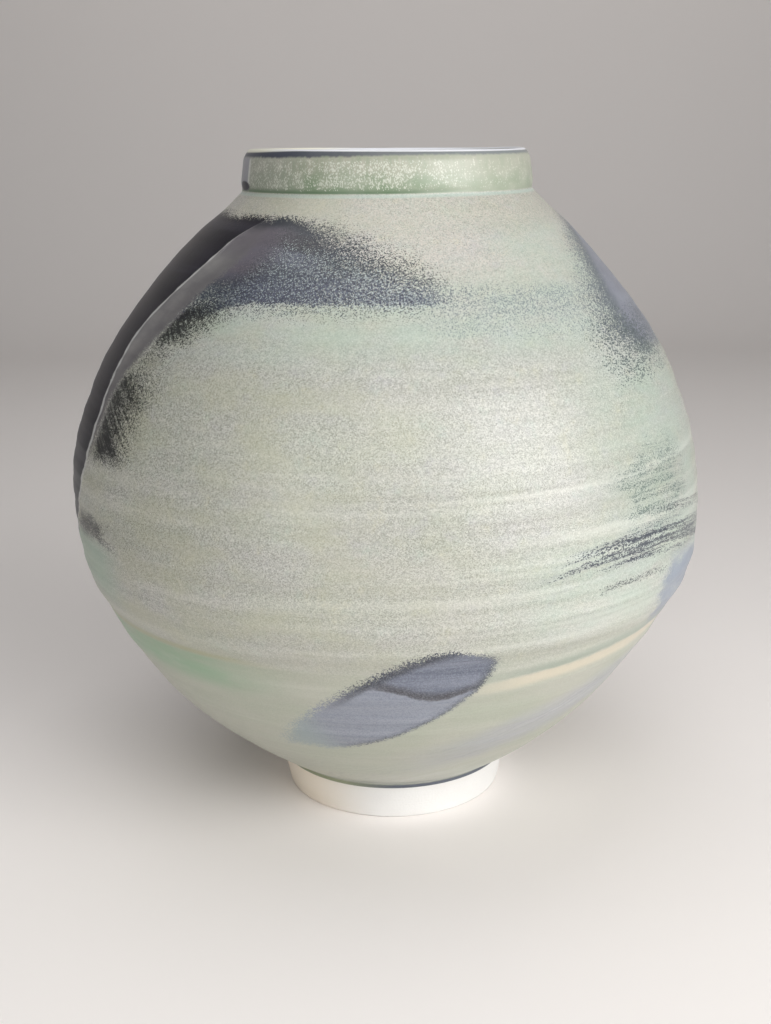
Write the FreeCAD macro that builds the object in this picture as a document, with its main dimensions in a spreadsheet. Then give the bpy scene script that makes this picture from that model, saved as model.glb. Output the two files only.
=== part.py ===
import FreeCAD, Part
import math
import os
import Sketcher

# A large round storage jar, thrown as two bowls that are joined rim to rim a little below the belly.
# The jar stands on the plane z = 0 with its axis on Z, and every piece is an outline turned about that axis.
# Lengths are in millimetres.

# Sizes that can be set one by one.
JAR_SIZES = {
    # Both bowls, measured on the clay under the glaze.
    "wall": 6.0,
    "base_radius": 67.0,
    "base_step": 1.2,
    "floor_thickness": 8.0,
    "floor_round": 24.0,
    "lower_curve": 262.0,
    "seam_height": 131.0,
    "seam_curve": 91.0,
    "belly_radius": 175.0,
    "belly_rise": 43.0,
    "upper_curve": 173.1,
    "shoulder_rise": 101.0,
    "shoulder_curve": 369.5,
    # Foot ring: it tapers downwards outside and widens downwards inside.
    "foot_height": 21.4,
    "foot_taper": 4.0,
    "foot_width": 12.0,
    "recess_taper": 2.5,
    "foot_round": 1.2,
    # Slip in the three joints, and the bead wiped along the belly joint inside the jar.
    "foot_slip": 1.0,
    "belly_slip": 1.2,
    "collar_slip": 1.2,
    "bead_height": 14.0,
    "bead_stand": 3.0,
    # Collar and lip.
    "mouth_radius": 71.0,
    "collar_wall": 6.2,
    "collar_height": 20.8,
    "collar_shelf": 0.6,
    "collar_swell": 0.7,
    "collar_swell_height": 5.0,
    "collar_lean": 1.7,
    "bevel_height": 3.8,
    "lip_round": 1.7,
    # Glaze coats, and how far the outer one laps over the foot ring.
    "outer_coat": 0.8,
    "inner_coat": 0.6,
    "coat_lap": 1.2,
    # Where the bevel runs into the rounding of the lip: the cosine of that turn on a unit circle.
    "lip_turn_share": 0.87,
}

# Places on the outlines, worked out from the sizes: a distance from the axis ends in _out, a height in _up.
JAR_PLACES = {
    # Levels of the joints and of the floor.
    "base_up": "Jar.foot_height + Jar.foot_slip",
    "turn_up": "base_up + Jar.base_step",
    "floor_up": "base_up + Jar.floor_thickness",
    "seam_low_up": "Jar.seam_height - Jar.belly_slip / 2",
    "seam_high_up": "Jar.seam_height + Jar.belly_slip / 2",
    "belly_up": "Jar.seam_height + Jar.belly_rise",
    # The upper bowl's three arcs, each tangent to the next: to the belly, to the shoulder and to the neck.
    "seam_centre_out": "Jar.belly_radius - Jar.seam_curve",
    "upper_centre_out": "Jar.belly_radius - Jar.upper_curve",
    "shoulder_sine": "Jar.shoulder_rise / Jar.upper_curve",
    "shoulder_cosine": "sqrt(1 - shoulder_sine ^ 2)",
    "shoulder_out": "upper_centre_out + Jar.upper_curve * shoulder_cosine",
    "shoulder_up": "belly_up + Jar.upper_curve * shoulder_sine",
    "shoulder_centre_out": "shoulder_out - Jar.shoulder_curve * shoulder_cosine",
    "shoulder_centre_up": "shoulder_up - Jar.shoulder_curve * shoulder_sine",
    # Outer edges of the two rims.
    "rim_low_out": "seam_centre_out + sqrt(Jar.seam_curve ^ 2 - (belly_up - seam_low_up) ^ 2)",
    "rim_high_out": "seam_centre_out + sqrt(Jar.seam_curve ^ 2 - (belly_up - seam_high_up) ^ 2)",
    # The lower bowl's arc, from its base to its rim: the centre lies square to the middle of the chord.
    "half_run": "(rim_low_out - Jar.base_radius) / 2",
    "half_climb": "(seam_low_up - turn_up) / 2",
    "half_chord": "sqrt(half_run ^ 2 + half_climb ^ 2)",
    "centre_reach": "sqrt(Jar.lower_curve ^ 2 - half_chord ^ 2)",
    "lower_centre_out": "Jar.base_radius + half_run - centre_reach * half_climb / half_chord",
    "lower_centre_up": "turn_up + half_climb + centre_reach * half_run / half_chord",
    # Inside of the walls.
    "lower_inside": "Jar.lower_curve - Jar.wall",
    "seam_inside": "Jar.seam_curve - Jar.wall",
    "upper_inside": "Jar.upper_curve - Jar.wall",
    "shoulder_inside": "Jar.shoulder_curve - Jar.wall",
    "belly_in_out": "Jar.belly_radius - Jar.wall",
    "shoulder_in_out": "upper_centre_out + upper_inside * shoulder_cosine",
    "shoulder_in_up": "belly_up + upper_inside * shoulder_sine",
    "rim_low_in_out": "lower_centre_out + sqrt(lower_inside ^ 2 - (lower_centre_up - seam_low_up) ^ 2)",
    "rim_high_in_out": "seam_centre_out + sqrt(seam_inside ^ 2 - (belly_up - seam_high_up) ^ 2)",
    # Floor of the lower bowl, rounded into its wall.
    "floor_centre_up": "floor_up + Jar.floor_round",
    "floor_fit": "lower_inside - Jar.floor_round",
    "floor_out": "lower_centre_out + sqrt(floor_fit ^ 2 - (lower_centre_up - floor_centre_up) ^ 2)",
    "floor_end_out": "lower_centre_out + (floor_out - lower_centre_out) * lower_inside / floor_fit",
    "floor_end_up": "lower_centre_up - (lower_centre_up - floor_centre_up) * lower_inside / floor_fit",
    # Bead along the belly joint: its edges on the two walls, and the radius of its crown.
    "bead_low_up": "Jar.seam_height - Jar.bead_height / 2",
    "bead_high_up": "Jar.seam_height + Jar.bead_height / 2",
    "bead_low_out": "lower_centre_out + sqrt(lower_inside ^ 2 - (lower_centre_up - bead_low_up) ^ 2)",
    "bead_high_out": "seam_centre_out + sqrt(seam_inside ^ 2 - (belly_up - bead_high_up) ^ 2)",
    "bead_chord": "sqrt((bead_high_out - bead_low_out) ^ 2 + Jar.bead_height ^ 2)",
    "bead_curve": "bead_chord ^ 2 / (8 * Jar.bead_stand) + Jar.bead_stand / 2",
    # Foot ring.
    "foot_out": "Jar.base_radius - Jar.foot_taper",
    "foot_in_out": "foot_out - Jar.foot_width",
    "recess_out": "foot_in_out - Jar.recess_taper",
    "tread_out": "foot_out - Jar.foot_round",
    "tread_in_out": "foot_in_out + Jar.foot_round",
    # Neck: the top of the upper bowl, cut where the shoulder has come in to the collar.
    "collar_out": "Jar.mouth_radius + Jar.collar_wall",
    "neck_out": "collar_out + Jar.collar_shelf",
    "neck_up": "shoulder_centre_up + sqrt(Jar.shoulder_curve ^ 2 - (neck_out - shoulder_centre_out) ^ 2)",
    "mouth_reach": "Jar.mouth_radius - shoulder_centre_out",
    "neck_in_up": "shoulder_centre_up + sqrt(shoulder_inside ^ 2 - mouth_reach ^ 2)",
    # Collar and lip.
    "collar_up": "neck_up + Jar.collar_slip",
    "swell_out": "collar_out + Jar.collar_swell",
    "swell_up": "collar_up + Jar.collar_swell_height",
    "swell_curve": "(Jar.collar_swell_height ^ 2 + Jar.collar_swell ^ 2) / (2 * Jar.collar_swell)",
    "rim_up": "collar_up + Jar.collar_height",
    "bevel_out": "swell_out - Jar.collar_lean",
    "bevel_up": "rim_up - Jar.bevel_height",
    "lip_out": "Jar.mouth_radius + Jar.lip_round",
    "lip_up": "rim_up - Jar.lip_round",
    "lip_sine": "sqrt(1 - Jar.lip_turn_share ^ 2)",
    "crest_out": "lip_out + Jar.lip_round * Jar.lip_turn_share",
    "crest_up": "lip_up + Jar.lip_round * lip_sine",
    # Outer coat: its rolled lower edge on the foot ring, then its outer surface from there to the mouth.
    "coat_up": "Jar.foot_height - Jar.coat_lap",
    "lap_taper": "Jar.foot_taper * Jar.coat_lap / (Jar.foot_height - Jar.foot_round)",
    "coat_out": "Jar.base_radius - lap_taper",
    "roll_out": "coat_out + Jar.outer_coat",
    "roll_up": "coat_up + Jar.outer_coat",
    "lower_coat": "Jar.lower_curve + Jar.outer_coat",
    "seam_coat": "Jar.seam_curve + Jar.outer_coat",
    "upper_coat": "Jar.upper_curve + Jar.outer_coat",
    "shoulder_coat": "Jar.shoulder_curve + Jar.outer_coat",
    "lip_coat": "Jar.lip_round + Jar.outer_coat",
    "base_coat_out": "Jar.base_radius + Jar.outer_coat",
    "base_coat_up": "lower_centre_up - sqrt(lower_coat ^ 2 - (base_coat_out - lower_centre_out) ^ 2)",
    "low_coat_out": "lower_centre_out + (rim_low_out - lower_centre_out) * lower_coat / Jar.lower_curve",
    "low_coat_up": "lower_centre_up - (lower_centre_up - seam_low_up) * lower_coat / Jar.lower_curve",
    "high_coat_out": "seam_centre_out + (rim_high_out - seam_centre_out) * seam_coat / Jar.seam_curve",
    "high_coat_up": "belly_up - (belly_up - seam_high_up) * seam_coat / Jar.seam_curve",
    "belly_coat_out": "Jar.belly_radius + Jar.outer_coat",
    "shoulder_coat_out": "upper_centre_out + upper_coat * shoulder_cosine",
    "shoulder_coat_up": "belly_up + upper_coat * shoulder_sine",
    "collar_coat_out": "collar_out + Jar.outer_coat",
    "collar_reach": "collar_coat_out - shoulder_centre_out",
    "collar_coat_up": "shoulder_centre_up + sqrt(shoulder_coat ^ 2 - collar_reach ^ 2)",
    "swell_coat_out": "swell_out + Jar.outer_coat",
    "bevel_coat_out": "bevel_out + Jar.outer_coat",
    "crest_coat_out": "lip_out + lip_coat * Jar.lip_turn_share",
    "crest_coat_up": "lip_up + lip_coat * lip_sine",
    "rim_coat_up": "rim_up + Jar.outer_coat",
    # Liner: its inner surface, from the floor to the mouth.
    "lower_liner": "lower_inside - Jar.inner_coat",
    "seam_liner": "seam_inside - Jar.inner_coat",
    "upper_liner": "upper_inside - Jar.inner_coat",
    "shoulder_liner": "shoulder_inside - Jar.inner_coat",
    "floor_liner": "Jar.floor_round - Jar.inner_coat",
    "floor_liner_up": "floor_up + Jar.inner_coat",
    "floor_end_liner_out": "lower_centre_out + (floor_out - lower_centre_out) * lower_liner / floor_fit",
    "floor_end_liner_up": "lower_centre_up - (lower_centre_up - floor_centre_up) * lower_liner / floor_fit",
    "bead_low_liner_up": "bead_low_up - Jar.inner_coat",
    "bead_high_liner_up": "bead_high_up + Jar.inner_coat",
    "bead_drop": "lower_centre_up - bead_low_liner_up",
    "bead_low_liner_out": "lower_centre_out + sqrt(lower_liner ^ 2 - bead_drop ^ 2)",
    "bead_lift": "belly_up - bead_high_liner_up",
    "bead_high_liner_out": "seam_centre_out + sqrt(seam_liner ^ 2 - bead_lift ^ 2)",
    "bead_liner_run": "bead_high_liner_out - bead_low_liner_out",
    "bead_liner_chord": "sqrt(bead_liner_run ^ 2 + (bead_high_liner_up - bead_low_liner_up) ^ 2)",
    "bead_liner": "bead_liner_chord ^ 2 / (8 * Jar.bead_stand) + Jar.bead_stand / 2",
    "belly_liner_out": "belly_in_out - Jar.inner_coat",
    "shoulder_liner_out": "upper_centre_out + upper_liner * shoulder_cosine",
    "shoulder_liner_up": "belly_up + upper_liner * shoulder_sine",
    "mouth_liner_out": "Jar.mouth_radius - Jar.inner_coat",
    "liner_reach": "mouth_liner_out - shoulder_centre_out",
    "mouth_liner_up": "shoulder_centre_up + sqrt(shoulder_liner ^ 2 - liner_reach ^ 2)",
}

ON_AXIS = "axis"
ON_GROUND = "ground"


# Steps along an outline: each names a corner by its two places, and how the outline gets there.

def straight(out, up):
    return out, up, None, None


def around(out, up, radius):
    """An arc whose centre lies on the side of the axis."""
    return out, up, radius, -1


def into(out, up, radius):
    """An arc whose centre lies on the side away from the axis."""
    return out, up, radius, 1


def downwards(run):
    """The same stretch of outline travelled the other way, entered by a straight line."""
    entries = [(None, None)] + [step[2:] for step in run[:0:-1]]
    return [step[:2] + entry for step, entry in zip(run[::-1], entries)]


# Stretches that two neighbours share, so that they meet face to face. All of them run upwards.
LOWER_WALL_OUTSIDE = [
    straight("base_radius", "base_up"),
    straight("base_radius", "turn_up"),
    around("rim_low_out", "seam_low_up", "lower_curve"),
]
UPPER_WALL_OUTSIDE = [
    straight("rim_high_out", "seam_high_up"),
    around("belly_radius", "belly_up", "seam_curve"),
    around("shoulder_out", "shoulder_up", "upper_curve"),
    around("neck_out", "neck_up", "shoulder_curve"),
]
COLLAR_OUTSIDE = [
    straight("collar_out", "collar_up"),
    around("swell_out", "swell_up", "swell_curve"),
    straight("bevel_out", "bevel_up"),
    straight("crest_out", "crest_up"),
    around("lip_out", "rim_up", "lip_round"),
    into("mouth_radius", "lip_up", "lip_round"),
]
FLOOR_INSIDE = [
    straight(ON_AXIS, "floor_up"),
    straight("floor_out", "floor_up"),
    around("floor_end_out", "floor_end_up", "floor_round"),
]
BEAD_INSIDE = [
    around("bead_low_out", "bead_low_up", "lower_inside"),
    into("bead_high_out", "bead_high_up", "bead_curve"),
]
UPPER_WALL_INSIDE = [
    around("belly_in_out", "belly_up", "seam_inside"),
    around("shoulder_in_out", "shoulder_in_up", "upper_inside"),
    around("mouth_radius", "neck_in_up", "shoulder_inside"),
    straight("mouth_radius", "neck_up"),
]

# The outer surface of each coat, upwards.
OUTER_COAT_SURFACE = [
    straight("coat_out", "coat_up"),
    around("roll_out", "roll_up", "outer_coat"),
    straight("base_coat_out", "base_coat_up"),
    around("low_coat_out", "low_coat_up", "lower_coat"),
    straight("high_coat_out", "high_coat_up"),
    around("belly_coat_out", "belly_up", "seam_coat"),
    around("shoulder_coat_out", "shoulder_coat_up", "upper_coat"),
    around("collar_coat_out", "collar_coat_up", "shoulder_coat"),
    around("swell_coat_out", "swell_up", "swell_curve"),
    straight("bevel_coat_out", "bevel_up"),
    straight("crest_coat_out", "crest_coat_up"),
    around("lip_out", "rim_coat_up", "lip_coat"),
    into("mouth_liner_out", "lip_up", "lip_coat"),
]
LINER_SURFACE = [
    straight(ON_AXIS, "floor_liner_up"),
    straight("floor_out", "floor_liner_up"),
    around("floor_end_liner_out", "floor_end_liner_up", "floor_liner"),
    around("bead_low_liner_out", "bead_low_liner_up", "lower_liner"),
    into("bead_high_liner_out", "bead_high_liner_up", "bead_liner"),
    around("belly_liner_out", "belly_up", "seam_liner"),
    around("shoulder_liner_out", "shoulder_liner_up", "upper_liner"),
    around("mouth_liner_out", "mouth_liner_up", "shoulder_liner"),
    straight("mouth_liner_out", "lip_up"),
]

# Each piece's closed outline. The first step also closes it, from the last corner back to the first.
OUTLINES = {
    "foot_ring": [
        straight("recess_out", "foot_height"),
        straight("foot_in_out", "foot_round"),
        into("tread_in_out", ON_GROUND, "foot_round"),
        straight("tread_out", ON_GROUND),
        around("foot_out", "foot_round", "foot_round"),
        straight("base_radius", "foot_height"),
    ],
    "foot_joint_slip": [
        straight("recess_out", "foot_height"),
        straight("base_radius", "foot_height"),
        straight("base_radius", "base_up"),
        straight("recess_out", "base_up"),
    ],
    "lower_bowl": [
        straight(ON_AXIS, "base_up"),
        *LOWER_WALL_OUTSIDE,
        straight("rim_low_in_out", "seam_low_up"),
        around("floor_end_out", "floor_end_up", "lower_inside"),
        *downwards(FLOOR_INSIDE)[1:],
    ],
    "belly_joint_slip": [
        straight("rim_low_out", "seam_low_up"),
        straight("rim_high_out", "seam_high_up"),
        straight("rim_high_in_out", "seam_high_up"),
        around("bead_high_out", "bead_high_up", "seam_inside"),
        into("bead_low_out", "bead_low_up", "bead_curve"),
        around("rim_low_in_out", "seam_low_up", "lower_inside"),
    ],
    "upper_bowl": [
        around("rim_high_in_out", "seam_high_up", "seam_inside"),
        *UPPER_WALL_OUTSIDE,
        *downwards(UPPER_WALL_INSIDE),
    ],
    "collar_joint_slip": [
        straight("mouth_radius", "neck_up"),
        straight("collar_out", "neck_up"),
        straight("collar_out", "collar_up"),
        straight("mouth_radius", "collar_up"),
    ],
    "collar": [
        straight("mouth_radius", "collar_up"),
        *COLLAR_OUTSIDE,
    ],
    "outer_glaze": [
        *OUTER_COAT_SURFACE,
        *downwards(COLLAR_OUTSIDE),
        straight("collar_out", "neck_up"),
        *downwards(UPPER_WALL_OUTSIDE),
        *downwards(LOWER_WALL_OUTSIDE),
        straight("base_radius", "foot_height"),
    ],
    "inner_glaze": [
        *FLOOR_INSIDE,
        *BEAD_INSIDE,
        *UPPER_WALL_INSIDE,
        straight("mouth_radius", "collar_up"),
        straight("mouth_radius", "lip_up"),
        *downwards(LINER_SURFACE),
    ],
}


def fill_sheet(doc, name, cells):
    """A sheet with one row for each entry: its name in column A, its value or formula in column B."""
    sheet = doc.addObject("Spreadsheet::Sheet", name)
    for row, (alias, content) in enumerate(cells.items(), start=1):
        sheet.set(f"A{row}", alias)
        sheet.set(f"B{row}", content)
        sheet.setAlias(f"B{row}", alias)
    return sheet


def cell_name(alias):
    """The expression that reads a size or a place."""
    sheet = "Jar" if alias in JAR_SIZES else "Places"
    return f"{sheet}.{alias}"


def arc_between(start, end, radius, side):
    """The shorter arc from start to end whose centre lies on the given side, -1 towards the axis."""
    half = (end - start) * 0.5
    square = FreeCAD.Vector(-half.y, half.x, 0) / half.Length
    if square.x * side < 0:
        square = -square
    centre = start + half + square * math.sqrt(radius ** 2 - half.Length ** 2)
    circle = Part.Circle(centre, FreeCAD.Vector(0, 0, 1), radius)
    turn = (start - centre).cross(end - centre).z
    first, last = (start, end) if turn > 0 else (end, start)
    arc = Part.ArcOfCircle(circle, circle.parameter(first), circle.parameter(last))
    return arc, turn > 0


def draw_outline(body, steps):
    """A sketch of the closed outline in the body's own XZ plane, each corner and arc bound to its cell."""
    sketch = body.newObject("Sketcher::SketchObject", body.Name + "_outline")
    plane = [feature for feature in body.Origin.OriginFeatures if feature.Role == "XZ_Plane"][0]
    sketch.AttachmentSupport = [(plane, "")]
    sketch.MapMode = "FlatFace"

    def measure(name):
        return 0.0 if name in (ON_AXIS, ON_GROUND) else float(sketch.evalExpression(cell_name(name)))

    corners = [FreeCAD.Vector(measure(out), measure(up), 0) for out, up, _, _ in steps]
    starts_first = []
    for index, (_, _, radius, side) in enumerate(steps):
        if radius is None:
            sketch.addGeometry(Part.LineSegment(corners[index - 1], corners[index]))
            starts_first.append(True)
        else:
            arc, same_way = arc_between(corners[index - 1], corners[index], measure(radius), side)
            sketch.addGeometry(arc)
            starts_first.append(same_way)

    bindings = []
    for index, (out, up, radius, _) in enumerate(steps):
        end = 2 if starts_first[index] else 1
        following = (index + 1) % len(steps)
        start_of_next = 1 if starts_first[following] else 2
        sketch.addConstraint(Sketcher.Constraint("Coincident", index, end, following, start_of_next))
        if out == ON_AXIS:
            sketch.addConstraint(Sketcher.Constraint("PointOnObject", index, end, -2))
        else:
            across = Sketcher.Constraint("DistanceX", -1, 1, index, end, corners[index].x)
            bindings.append((sketch.addConstraint(across), out))
        if up == ON_GROUND:
            sketch.addConstraint(Sketcher.Constraint("PointOnObject", index, end, -1))
        else:
            rise = Sketcher.Constraint("DistanceY", -1, 1, index, end, corners[index].y)
            bindings.append((sketch.addConstraint(rise), up))
        if radius is not None:
            size = Sketcher.Constraint("Radius", index, measure(radius))
            bindings.append((sketch.addConstraint(size), radius))
    for constraint, alias in bindings:
        sketch.setExpression(f"Constraints[{constraint}]", cell_name(alias))
    return sketch


def turn_piece(doc, name, steps):
    """A body whose outline is turned about the jar's axis."""
    body = doc.addObject("PartDesign::Body", name)
    body.Label = name
    body.Placement = FreeCAD.Placement()
    sketch = draw_outline(body, steps)
    turned = body.newObject("PartDesign::Revolution", name + "_turned")
    turned.Profile = sketch
    turned.ReferenceAxis = (sketch, ["V_Axis"])
    turned.Angle = 360
    return body


def check_document(doc, bodies):
    for item in doc.Objects:
        if "Invalid" in item.State or "Error" in item.State:
            raise RuntimeError(f"{item.Name} failed: {item.State}")
        if item.TypeId == "Sketcher::SketchObject" and not item.FullyConstrained:
            raise RuntimeError(f"{item.Name} is not fully constrained")
    for body in bodies:
        if body.Shape.isNull() or not body.Shape.isValid() or len(body.Shape.Solids) != 1:
            raise RuntimeError(f"{body.Label} is not one valid solid")


def main():
    doc = FreeCAD.newDocument("moon_jar")
    fill_sheet(doc, "Jar", {alias: str(size) for alias, size in JAR_SIZES.items()})
    fill_sheet(doc, "Places", {alias: "=" + formula for alias, formula in JAR_PLACES.items()})
    doc.recompute()
    bodies = [turn_piece(doc, name, steps) for name, steps in OUTLINES.items()]
    doc.recompute()
    check_document(doc, bodies)
    os.makedirs("parts", exist_ok=True)
    for body in bodies:
        body.Shape.exportStep(f"parts/{body.Label}.step")
        box = body.Shape.optimalBoundingBox()
        extent = f"up {box.ZMin:.2f} to {box.ZMax:.2f}, across {box.XLength:.2f}"
        print(f"{body.Label}: {body.Shape.Volume:.0f} mm3, {extent}")


main()
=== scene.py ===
import math

import bmesh
import bpy
import numpy as np
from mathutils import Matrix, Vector


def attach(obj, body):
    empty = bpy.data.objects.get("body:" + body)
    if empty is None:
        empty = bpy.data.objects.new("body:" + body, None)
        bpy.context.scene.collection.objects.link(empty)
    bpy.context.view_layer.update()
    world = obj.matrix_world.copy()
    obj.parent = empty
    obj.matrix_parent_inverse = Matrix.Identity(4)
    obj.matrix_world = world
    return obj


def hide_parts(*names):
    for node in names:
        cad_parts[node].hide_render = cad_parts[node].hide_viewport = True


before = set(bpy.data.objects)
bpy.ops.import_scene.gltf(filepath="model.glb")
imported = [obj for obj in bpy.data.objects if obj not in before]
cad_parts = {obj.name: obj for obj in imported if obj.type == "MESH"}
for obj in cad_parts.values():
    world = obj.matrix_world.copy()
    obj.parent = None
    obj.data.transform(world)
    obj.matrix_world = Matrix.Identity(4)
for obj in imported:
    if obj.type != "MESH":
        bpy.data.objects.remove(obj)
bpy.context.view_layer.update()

# A large round jar with a sprayed satin glaze, standing on its bare foot ring.
# The shapes are worked out in millimetres from the jar's axis and the ground, and become metres in the meshes.
# An azimuth is in degrees round the axis: 0 faces the front, -Y, and 90 is to the right, +X.
METRE = 0.001
RADIAN = math.degrees(1.0)


# ---- Outlines ----

def straight(corner):
    return corner, None, None


def around(corner, radius):
    """An arc to the corner whose centre lies on the side of the axis."""
    return corner, radius, -1


def into(corner, radius):
    """An arc to the corner whose centre lies on the side away from the axis."""
    return corner, radius, 1


def trace(steps, spacing):
    """Points along the steps, at most spacing apart, as rows of (distance from the axis, height)."""
    points = [np.array(steps[0][0], float)]
    for corner, radius, side in steps[1:]:
        start = points[-1]
        end = np.array(corner, float)
        chord = np.linalg.norm(end - start)
        count = max(1, math.ceil(chord / spacing))
        shares = np.arange(1, count + 1) / count
        if radius is None:
            points.extend(start + (end - start) * share for share in shares)
            continue
        along = (end - start) / chord
        square = np.array((-along[1], along[0]))
        if square[0] * side < 0:
            square = -square
        centre = (start + end) / 2 + square * math.sqrt(radius ** 2 - (chord / 2) ** 2)
        first = math.atan2(*(start - centre)[::-1])
        turn = math.atan2(*(end - centre)[::-1]) - first
        turn = (turn + math.pi) % (2 * math.pi) - math.pi
        for share in shares:
            angle = first + turn * share
            points.append(centre + radius * np.array((math.cos(angle), math.sin(angle))))
    return np.array(points)


def soften(points, reach, low, high):
    """The outline with its corners rounded between two heights, its ends kept."""
    result = points.copy()
    for _ in range(reach):
        middle = (result[:-2] + 2 * result[1:-1] + result[2:]) / 4
        inside = (result[1:-1, 1] > low) & (result[1:-1, 1] < high)
        result[1:-1][inside] = middle[inside]
    return result


# Thickness of the walls and of the two coats of glaze.
WALL = 6
OUTER_COAT = 0.8
INNER_COAT = 0.6

# Radii of the clay's arcs.
LOWER_CURVE = 262
SEAM_CURVE = 91
UPPER_CURVE = 173.1
SHOULDER_CURVE = 369.5
FLOOR_ROUND = 24
FOOT_ROUND = 1.2
BEAD_CURVE = 11.82
COLLAR_CURVE = 18.2
LIP_ROUND = 1.7

# Corners of the clay, as (distance from the axis, height), where its arcs and its pieces meet.
RECESS_TOP = 48.5, 21.4
FOOT_TOP = 67, 21.4
BASE_LOW = 67, 22.4
BASE_HIGH = 67, 23.6
RIM_LOW = 163.875, 130.4
RIM_HIGH = 164.519, 131.6
BELLY = 175, 174
SHOULDER = 142.48, 275
NECK = 77.8, 344.214
JOINT_LOW = 77.2, 344.214
JOINT_HIGH = 77.2, 345.414
COLLAR_SWELL = 77.9, 350.414
BEVEL_LOW = 76.2, 362.414
BEVEL_HIGH = 74.179, 365.352
LIP = 72.7, 366.214
MOUTH_HIGH = 71, 364.514
MOUTH_LOW = 71, 345.414
NECK_CUT = 71, 344.214
NECK_IN = 71, 342.02
SHOULDER_IN = 137.61, 271.5
BELLY_IN = 169, 174
BEAD_HIGH = 161, 138
RIM_HIGH_IN = 157.67, 131.6
RIM_LOW_IN = 157.17, 130.4
BEAD_LOW = 153.8, 124
FLOOR_CORNER = 72.85, 34.56
FLOOR_EDGE = 59.35, 30.4
FLOOR_MIDDLE = 0, 30.4

# The clay's inside, downwards.
UPPER_INSIDE = [
    straight(NECK_IN), around(SHOULDER_IN, SHOULDER_CURVE - WALL), around(BELLY_IN, UPPER_CURVE - WALL),
]
FLOOR_INSIDE = [
    around(FLOOR_CORNER, LOWER_CURVE - WALL), around(FLOOR_EDGE, FLOOR_ROUND), straight(FLOOR_MIDDLE),
]

# The surfaces of the two coats, upwards, and the backs that they share with the clay, downwards.
COAT = [
    straight((66.76, 20.2)), around((67.56, 21), OUTER_COAT), straight((67.8, 23.155)),
    around((164.59, 130.05), LOWER_CURVE + OUTER_COAT), straight((165.23, 131.23)),
    around((175.8, 174), SEAM_CURVE + OUTER_COAT), around((143.13, 275.47), UPPER_CURVE + OUTER_COAT),
    around((78, 345.086), SHOULDER_CURVE + OUTER_COAT), around((78.7, 350.414), COLLAR_CURVE),
    straight((77, 362.414)), straight((74.875, 365.747)), around((72.7, 367.014), LIP_ROUND + OUTER_COAT),
    into((70.4, 364.514), LIP_ROUND + OUTER_COAT),
]
COAT_BACK = [
    straight(MOUTH_HIGH), into(LIP, LIP_ROUND), around(BEVEL_HIGH, LIP_ROUND), straight(BEVEL_LOW),
    straight(COLLAR_SWELL), straight(JOINT_HIGH), straight(JOINT_LOW), straight(NECK),
    around(SHOULDER, SHOULDER_CURVE), around(BELLY, UPPER_CURVE), around(RIM_HIGH, SEAM_CURVE), straight(RIM_LOW),
    around(BASE_HIGH, LOWER_CURVE), straight(FOOT_TOP),
]
LINER_BEAD_CURVE = 13.68
LINER = [
    straight((0, 31)), straight((59.35, 31)), around((72.51, 35.05), FLOOR_ROUND - INNER_COAT),
    around((152.79, 123.4), LOWER_CURVE - WALL - INNER_COAT), into((160.62, 138.6), LINER_BEAD_CURVE),
    around((168.4, 174), SEAM_CURVE - WALL - INNER_COAT), around((137.12, 271.15), UPPER_CURVE - WALL - INNER_COAT),
    around((70.4, 341.74), SHOULDER_CURVE - WALL - INNER_COAT), straight((70.4, 364.514)),
]
LINER_BACK = [
    straight(MOUTH_HIGH), *UPPER_INSIDE, around(BEAD_HIGH, SEAM_CURVE - WALL), into(BEAD_LOW, BEAD_CURVE),
    *FLOOR_INSIDE,
]


# ---- How the jar departs from a true turned shape ----

def table(where, rows):
    """A smooth reading between the rows of (place, amount)."""
    places, amounts = np.array(rows, float).T
    index = np.clip(np.searchsorted(places, where) - 1, 0, len(places) - 2)
    share = np.clip((where - places[index]) / (places[index + 1] - places[index]), 0, 1)
    share = share * share * (3 - 2 * share)
    return amounts[index] + (amounts[index + 1] - amounts[index]) * share


# How far each level sits off the axis to the right, and how far its wall stands out from the true outline.
SIDEWAYS = [(0, 2.3), (24, 2.3), (85, -0.1), (150, 1.1), (170, 0.1), (205, -1.05), (300, 0.2), (345, 2.2), (370, 2.2)]
SWELLING = [
    (40, 0), (75, 0.7), (100, -0.4), (114, 0.1), (127, -0.6), (132, -0.5), (143, 0.6), (152, 0.1), (164, -0.9),
    (184, -0.6), (205, 0.2), (222, 0), (240, -0.5), (258, 0), (325, 0), (336, -1.1), (346, 0),
]
FULL_SWELLING_OUT = 60

# The seam tilts: it is highest at one azimuth, and the swelling near it tilts with it.
SEAM_UP = 131
SEAM_TILT = 4.9
SEAM_TILT_TOWARDS = -38
SEAM_REACH = 26

# How far the lip lies lower at each azimuth. The collar carries a part of the dip at each level.
LIP_DIPS = [
    (-180, -1.3), (-140, -0.5), (-60, 0), (-25, -0.2), (10, -0.9), (60, -1.3), (100, -0.9), (140, -1.5),
    (180, -1.3),
]
COLLAR_UP = 345
RIM_UP = 367


def depart(out, up, azimuth):
    """Moves points of the true shape to where they are on this jar, as x, y and z in millimetres."""
    turned = np.radians(azimuth)
    tilt = SEAM_TILT * (np.cos(turned - math.radians(SEAM_TILT_TOWARDS)) - 1)
    near_seam = np.exp(-((up - SEAM_UP) / SEAM_REACH) ** 2)
    swelling = table(up - tilt * near_seam, SWELLING)
    out = out + swelling * np.clip(out / FULL_SWELLING_OUT, 0, 1)
    lifted = np.clip((up - COLLAR_UP) / (RIM_UP - COLLAR_UP), 0, 1)
    height = up + table(azimuth, LIP_DIPS) * lifted
    return out * np.sin(turned) + table(up, SIDEWAYS), -out * np.cos(turned), height


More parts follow.
